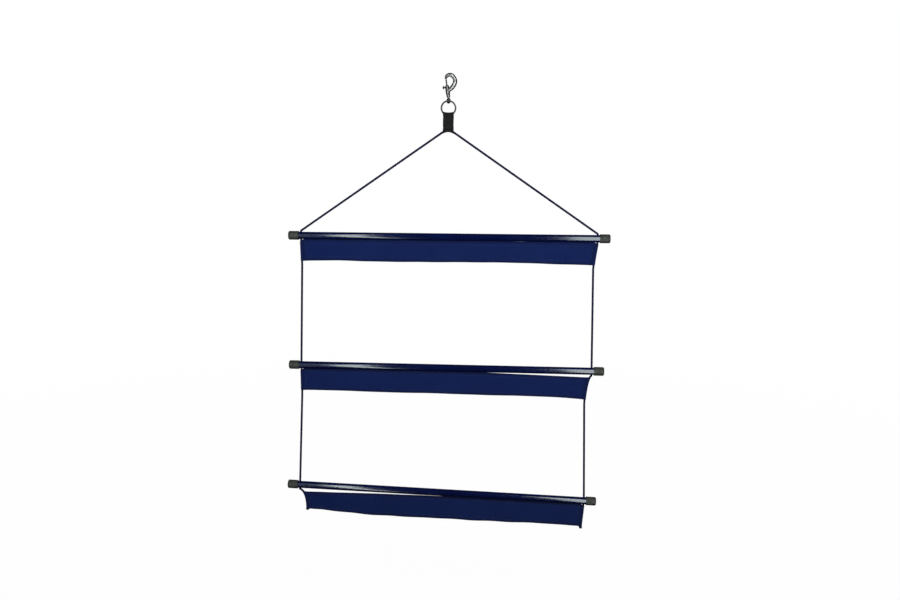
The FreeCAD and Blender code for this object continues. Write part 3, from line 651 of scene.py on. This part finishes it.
class Strip:
    """One cloth strip's surface, given by the share of its width and of its height."""

    def __init__(self, tier, seed):
        self.tier = tier
        self.edge = {}
        for side in SIDES:
            a, up = in_bar(tier, ROPE_LINES[tier, side])
            order = np.argsort(-up)
            self.edge[side] = (-up[order], a[order])
        rng = np.random.default_rng(seed)
        self.waves = [(rng.uniform(2.0, 9.0), rng.uniform(0, TURN), rng.uniform(-1.5, 1.5)) for _ in range(7)]
        self.puckers = [(rng.uniform(90, 230), rng.uniform(0, TURN)) for _ in range(8)]

    def top(self, share):
        return TUBE_R + eased(UPPER_EDGE[self.tier], share) * MM

    def foot(self, share):
        return eased(LOWER_EDGE[self.tier], share) * MM

    def side_along(self, side, down):
        """The rope's place along the bar at a share of the hem's height."""
        end = 0.0 if side == "left" else 1.0
        depth = self.top(end) + (self.foot(end) - self.top(end)) * down
        return np.interp(depth, *self.edge[side])

    def share_to_along(self, share, down):
        left, right = self.side_along("left", down), self.side_along("right", down)
        return left + (right - left) * share

    def bulge(self, share, down):
        """How far the cloth stands to the back."""
        free = np.clip(np.minimum(share, 1 - share) / 0.07, 0, 1)
        free = free * free * (3 - 2 * free)
        low = sum(
            math.sin(0.7 * n + 1) * np.sin(f * share * TURN + p + lean * (down - 0.5))
            for n, (f, p, lean) in enumerate(self.waves)
        )
        near_edge = np.exp(-np.minimum(down, 1 - down) / 0.16)
        fine = sum(np.sin(f * share * TURN + p) for f, p in self.puckers)
        return free * (low * (0.00030 + 0.00055 * down) + fine * near_edge * 0.00006)

    def place(self, across, back, depth):
        return bar_point(self.tier, across, -depth, back)


def strip_columns():
    """The columns across a strip: (share of the width, inwards from that side's rope, back)."""
    left = [(0.0, inward * MM, back * MM) for inward, back in SLEEVE]
    right = [(1.0, -inward * MM, back * MM) for inward, back in reversed(SLEEVE)]
    start, count = 0.0175, 228
    body = [(start + (1 - 2 * start) * n / count, 0.0, 0.0) for n in range(count + 1)]
    return left + body + right


def strip_rows(count=22):
    """The rows down a strip: (share of the height, offset from that share in metres, layer)."""
    turn = LAYER / 2
    angles = (0.0, 0.6, 1.2, 1.57, 1.94, 2.54, 3.14)
    fold = [(0.0, turn * (1 - math.sin(a)), 0.5 + 0.5 * math.cos(a)) for a in angles]
    top = [(0.0, off, 1.0) for off in (HEM_DEEP, 0.0065, 0.004, 0.002)] + fold
    body = [(n / count, 0.0, 0.0) for n in range(1, count)]
    foot = [(1.0, -off, layer) for _, off, layer in reversed(top)]
    return top + body + foot


def clear_top(beside, back):
    """How far below its bar's axis a hem's top has to lie to clear the tube, but for the cloth's give."""
    near = TUBE_R + CLOTH_THICK / 2 - CLOTH_GIVE
    back = ROUND_ROPE if beside < 0.002 else abs(back)
    if back < PIVOT_UP - near:
        return PIVOT_UP - math.sqrt((PIVOT_UP - near) ** 2 - back**2)
    return PIVOT_UP + math.sqrt(near**2 - (PIVOT_UP - back) ** 2)


def strip_surface(strip):
    """The points of the strip's middle surface, row by row, with what its rows and columns stand for."""
    columns, rows = strip_columns(), strip_rows()
    base = np.zeros((len(rows), len(columns), 3))
    layer = np.zeros((len(rows), len(columns)))
    for c, (share, inward, back) in enumerate(columns):
        for r, (down, off, level) in enumerate(rows):
            edge = 0.0 if share < 0.5 else 1.0
            dip = 0.0
            if inward or back:
                beside = inward if share < 0.5 else -inward
                dip = max(0.0, clear_top(beside, back + LAYER * (back > 0)) - strip.top(edge))
            top, foot = strip.top(share) + dip, strip.foot(share)
            depth = top + (foot - top) * down + off
            v = (depth - strip.top(share)) / (foot - strip.top(share))
            across = strip.share_to_along(share, min(max(v, 0), 1)) + inward
            base[r, c] = strip.place(across, back + float(strip.bulge(share, v)), depth)
            layer[r, c] = level
    flat_rows = [r for r, row in enumerate(rows) if row[2] == 0.0]
    middle = flat_rows[len(flat_rows) // 2]
    run = np.diff(base[middle], axis=0)
    heading = np.vstack([run[:1], (run[:-1] + run[1:]) / 2, run[-1:]])
    heading /= np.linalg.norm(heading, axis=1)[:, None]
    tilt = math.radians(BARS[strip.tier][2])
    up = np.array([math.sin(tilt), 0, math.cos(tilt)])
    out = np.cross(up, heading)
    out /= np.linalg.norm(out, axis=1)[:, None]
    points = base + out[None, :, :] * (layer * LAYER)[:, :, None]
    return points, rows, columns


def stitch_mesh(lines, thick=0.00046, length=0.0027, gap=0.0006):
    """Short thread stitches laid end to end along lines of (points, outward direction)."""
    # One stitch from end to end: the place along it as a share of its length, its width and its lift.
    profile = [
        (-0.5, 0.15, -0.35),
        (-0.36, 0.85, 0.1),
        (0.0, 1.0, 0.25),
        (0.36, 0.85, 0.1),
        (0.5, 0.15, -0.35),
    ]
    tube, last = grid_faces(len(profile), 6, True), 6 * (len(profile) - 1)
    points, faces = [], []
    for line, out in lines:
        far = along(line)
        for start in np.arange(gap, far[-1] - length, length + gap):
            centre = np.array([np.interp(start + length / 2, far, line[:, k]) for k in range(3)])
            ahead = np.array([np.interp(start + length, far, line[:, k]) for k in range(3)]) - centre
            ahead /= np.linalg.norm(ahead)
            side = np.cross(out, ahead)
            side /= np.linalg.norm(side)
            first = len(points)
            for at, wide, lift in profile:
                middle = centre + ahead * at * length + out * lift * thick
                for k in range(6):
                    a = math.pi * k / 3
                    points.append(middle + (side * math.cos(a) + out * math.sin(a)) * thick / 2 * wide)
            faces += [tuple(first + v for v in quad) for quad in tube]
            faces.append(tuple(first + k for k in range(6))[::-1])
            faces.append(tuple(first + last + k for k in range(6)))
    return points, faces


def stitch_line(row, face, lift):
    """A row of stitches on the front (-1) or the back (1), lifted off the row's points."""
    return row + np.array([0, face * lift, 0]), np.array([0, float(face), 0])


def stitch_column(columns, end, on_back):
    """The column nearest a side hem's stitches, on the cloth's front or on the layer turned to the back."""

    def miss(k):
        share, inward, back = columns[k]
        wrong_face = back < 0.001 if on_back else back > 0
        return abs(abs(inward) - STITCH_IN) + wrong_face + abs(share - end)

    return min(range(len(columns)), key=miss)


def make_strip(tier, seed):
    strip = Strip(tier, seed)
    points, rows, columns = strip_surface(strip)
    high, wide = points.shape[:2]
    body = LADDER[tier]
    faces = grid_faces(high, wide)
    piece = new_piece(f"{tier}_cloth", points.reshape(-1, 3), faces, CLOTH, body, "navy_cloth")
    # The mask of painted shade along the top and foot hems and beside the rope sleeves, kept as the hem
    # attribute.
    edge = np.array([min(1.0, max(0.0, 1 - min(abs(d), abs(1 - d)) / 0.13)) for d, _, _ in rows])
    hem = np.repeat(np.clip(edge * 2.2, 0, 1)[:, None], wide, axis=1)
    for c, (_, inward, _) in enumerate(columns):
        if inward:
            hem[:, c] = np.maximum(hem[:, c], np.clip(1.3 - abs(inward) / 0.011, 0, 1))
    add_values(piece, "hem", hem.ravel())
    run = along(points[high // 2])
    fall = along(points[:, wide // 2])
    uv = piece.data.uv_layers.new(name="UVMap")
    index = np.zeros(len(piece.data.loops), int)
    piece.data.loops.foreach_get("vertex_index", index)
    flat = np.stack([run[index % wide], fall[index // wide]], axis=1)
    uv.data.foreach_set("uv", flat.astype(np.float32).ravel())
    thick = piece.modifiers.new("cloth_thickness", "SOLIDIFY")
    thick.thickness = CLOTH_THICK
    thick.offset = 0.0
    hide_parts(f"{tier}_strip")
    front = [r for r, row in enumerate(rows) if row[2] == 0.0]
    flat_columns = [c for c, (_, inward, back) in enumerate(columns) if inward == back == 0.0]
    depths = along(points[front][:, wide // 2])
    off = HEM_DEEP - STITCH_EDGE
    skin = CLOTH_THICK / 2
    lines = []
    for at in (off, depths[-1] - off):
        row = points[front[int(np.argmin(abs(depths - at)))], flat_columns]
        lines += [stitch_line(row, -1, skin), stitch_line(row, 1, LAYER + skin)]
    for end in (0, 1):
        face, back = (points[front, stitch_column(columns, end, on_back)] for on_back in (False, True))
        lines += [stitch_line(face, -1, skin), stitch_line(back, 1, skin)]
    name = f"{tier}_cloth_stitching"
    stitches = new_piece(name, *stitch_mesh(lines), NAVY_THREAD, body, "navy_cloth")


for seed, tier in enumerate(BARS, 11):
    make_strip(tier, seed)

# ---------------------------------------------------------------- webbing loop


def cut_corners(path, times):
    """A closed path with its corners rounded."""
    for _ in range(times):
        ahead = np.roll(path, -1, axis=0)
        near, far = path * 0.75 + ahead * 0.25, path * 0.25 + ahead * 0.75
        path = np.stack([near, far], axis=1).reshape(-1, 2)
    return path


def web_section(x):
    """The strap's closed loop at one place across it, as (y, z): round the ring, down, and round the rope."""
    ring = RING_Z - math.sqrt(RING_R**2 - x**2)
    rope = ARCH_Z + math.sqrt(ARCH_R**2 - x**2)
    over, under, flat = 0.0035, 0.0042, 0.00085
    fold = ring + BRIDGE * (1 - (x / WEB_HALF) ** 2)
    top = [(over * math.cos(a), fold + over * math.sin(a)) for a in np.linspace(0, math.pi, 9)]
    shoulder = [(over, ring - 0.001), (over, (ring + fold) / 2)]
    top = shoulder + top + [(-y, z) for y, z in reversed(shoulder)]
    angles = np.linspace(-0.35, math.pi + 0.35, 11)
    foot = [(-under * math.cos(a), rope - under * math.sin(a)) for a in angles]
    narrow = 0.0095
    high = np.linspace(ring - narrow, rope + narrow, 13)
    left = [(-flat, z) for z in high]
    right = [(flat, z) for z in high[::-1]]
    return cut_corners(np.array(top + left + foot + right), 2)


# The three rows of stitches: their heights, half their width and how far they stand off the strap's middle.
WEB_ROWS, WEB_ROW_HALF, WEB_ROW_LIFT = (-0.1197, -0.1222, -0.1458), 0.0138, 0.00157


def make_webbing():
    xs = np.linspace(-WEB_HALF, WEB_HALF, 25)
    sections = [web_section(x) for x in xs]
    points = []
    rng = np.random.default_rng(5)
    sway = rng.uniform(0, TURN, 4)
    for x, section in zip(xs, sections):
        for y, z in section:
            wander = 0.0002 * math.sin(z * 190 + sway[0]) + 0.00012 * math.sin(z * 410 + sway[1])
            ripple = 0.00018 * math.sin(x * 520 + z * 90 + sway[2]) * (abs(y) < 0.002)
            points.append((x + wander, y + ripple, z))
    columns = len(sections[0])
    faces = grid_faces(len(xs), columns, True)
    strap = new_piece("woven_strap", points, faces, WEBBING, "webbing", "black_webbing")
    middle = sections[len(xs) // 2]
    loop = np.array([(0, *p) for p in np.vstack([middle, middle[:1]])])
    run = along(loop)
    uv = strap.data.uv_layers.new(name="UVMap")
    flat = []
    for polygon in strap.data.polygons:
        corners = [(v // columns, v % columns) for v in polygon.vertices]
        wraps = any(c == columns - 1 for _, c in corners) and any(c == 0 for _, c in corners)
        flat += [(xs[r], run[columns if wraps and c == 0 else c]) for r, c in corners]
    uv.data.foreach_set("uv", np.array(flat, np.float32).ravel())
    thick = strap.modifiers.new("strap_thickness", "SOLIDIFY")
    thick.thickness = 0.0014
    thick.offset = 0.0
    edge = strap.modifiers.new("soft_edge", "BEVEL")
    edge.width = 0.0004
    edge.segments = 2
    edge.limit_method = "ANGLE"
    edge.angle_limit = math.radians(50)
    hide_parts("webbing_loop")
    across = np.linspace(-WEB_ROW_HALF, WEB_ROW_HALF, 40)
    lines = []
    for z in WEB_ROWS:
        row = np.array([(x, 0.0, z + 0.0003 * math.sin(x * 300)) for x in across])
        lines += [stitch_line(row, face, WEB_ROW_LIFT) for face in (-1, 1)]
    stitches = stitch_mesh(lines, 0.0009, 0.0032, 0.0011)
    thread = new_piece("strap_stitching", *stitches, BLACK_THREAD, "webbing", "black_thread")
    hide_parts("webbing_stitching")


make_webbing()

# ---------------------------------------------------------------- floor, world and lights


FLOOR_Z = -1.72


def make_floor():
    """A pale disc that fades into the white around it."""
    rows, columns, reach = 40, 72, 60.0
    points = []
    for r in range(rows):
        radius = reach * (r / (rows - 1)) ** 3
        for c in range(columns):
            a = 2 * math.pi * c / columns
            points.append((radius * math.cos(a), radius * math.sin(a), FLOOR_Z))
    s = Shader("pale_floor", (0.9, 0.9, 0.9), 0.9)
    far = s.node("VectorMath", {0: s.node("TexCoord").outputs["Object"]}, operation="LENGTH").outputs["Value"]
    glow = s.node("Emission", {"Color": (1, 1, 1, 1), "Strength": 1.0})
    mix = s.node("MixShader", {0: s.span(far, 1.2, 5.0, 0.975, 1.0)})
    s.put(mix.inputs[1], s.main.outputs[0])
    s.put(mix.inputs[2], glow.outputs[0])
    s.put(s.tree.nodes["Material Output"].inputs["Surface"], mix.outputs[0])
    mesh = bpy.data.meshes.new("floor")
    mesh.from_pydata(points, [], grid_faces(rows, columns, True))
    mesh.materials.append(s.material)
    floor = bpy.data.objects.new("floor", mesh)
    bpy.context.scene.collection.objects.link(floor)
    floor.visible_glossy = False
    floor.visible_diffuse = False
    floor.visible_shadow = False


def make_world():
    """White to the camera itself, a dim room where it lights, and a darker one in reflections."""
    world = bpy.data.worlds.new("studio")
    world.use_nodes = True
    bpy.context.scene.world = world
    tree = world.node_tree
    nodes, links = tree.nodes, tree.links
    room = nodes["Background"]
    seen = nodes.new("ShaderNodeBackground")
    seen.inputs["Color"].default_value = (1, 1, 1, 1)
    path = nodes.new("ShaderNodeLightPath")
    mix = nodes.new("ShaderNodeMixShader")
    where = nodes.new("ShaderNodeTexCoord")
    split = nodes.new("ShaderNodeSeparateXYZ")
    ramp = nodes.new("ShaderNodeValToRGB")
    links.new(where.outputs["Generated"], split.inputs[0])
    span = nodes.new("ShaderNodeMapRange")
    span.inputs["From Min"].default_value = -1
    links.new(split.outputs["Z"], span.inputs["Value"])
    links.new(span.outputs["Result"], ramp.inputs["Fac"])
    stops = ramp.color_ramp.elements
    stops[0].position, stops[0].color = 0.0, (0.10, 0.10, 0.104, 1)
    stops[1].position, stops[1].color = 1.0, (0.20, 0.20, 0.208, 1)
    for at, level in ((0.35, 0.08), (0.60, 0.06), (0.85, 0.12)):
        stop = stops.new(at)
        stop.color = (level, level, level * 1.04, 1)
    links.new(ramp.outputs["Color"], room.inputs["Color"])
    links.new(path.outputs["Is Camera Ray"], mix.inputs[0])
    dim = nodes.new("ShaderNodeMath")
    dim.operation = "MULTIPLY_ADD"
    dim.inputs[1].default_value, dim.inputs[2].default_value = -0.75, 1.0
    links.new(path.outputs["Is Glossy Ray"], dim.inputs[0])
    links.new(dim.outputs[0], room.inputs["Strength"])
    links.new(room.outputs[0], mix.inputs[1])
    links.new(seen.outputs[0], mix.inputs[2])
    links.new(mix.outputs[0], nodes["World Output"].inputs["Surface"])


def make_light(name, at, aim, size, power, shape="RECTANGLE", color=(1, 1, 1), shine=False, lean=0):
    """An area light that only lights, or one that is only seen mirrored in what shines."""
    data = bpy.data.lights.new(name, "AREA")
    data.shape = shape
    data.size, data.size_y = size
    data.energy = power
    data.color = color
    light = bpy.data.objects.new(name, data)
    turn = (Vector(aim) - Vector(at)).to_track_quat("-Z", "Y").to_matrix().to_4x4()
    light.matrix_world = Matrix.Translation(at) @ turn @ Matrix.Rotation(math.radians(lean), 4, "Z")
    light.visible_camera = False
    light.visible_glossy = shine
    light.visible_diffuse = not shine
    bpy.context.scene.collection.objects.link(light)


make_floor()
make_world()
COOL = (0.90, 1.0, 0.97)
make_light("left_strip", (-0.605, -2.0, -0.3), (-0.3, 0, -0.3), (0.165, 6.0), 33, "ELLIPSE", COOL, True, 2.6)
make_light("right_strip", (0.73, -2.1, -0.3), (0.47, 0, -0.3), (0.42, 6.0), 66, "ELLIPSE", COOL, True, 0.4)
make_light("side_panel", (-1.25, -2.2, -0.40), (-0.5, 0, -0.4), (0.8, 5.0), 12, color=COOL, shine=True)
make_light("left_key", (-0.95, -1.55, 0.05), (-0.1, 0, -0.6), (0.7, 0.7), 14)
make_light("right_key", (0.95, -1.55, 0.05), (0.1, 0, -0.6), (0.7, 0.7), 17)
make_light("back_box", (0.3, 2.2, 0.8), (0.0, 0, -0.7), (1.4, 1.4), 26)

bpy.context.scene.view_settings.view_transform = "Standard"
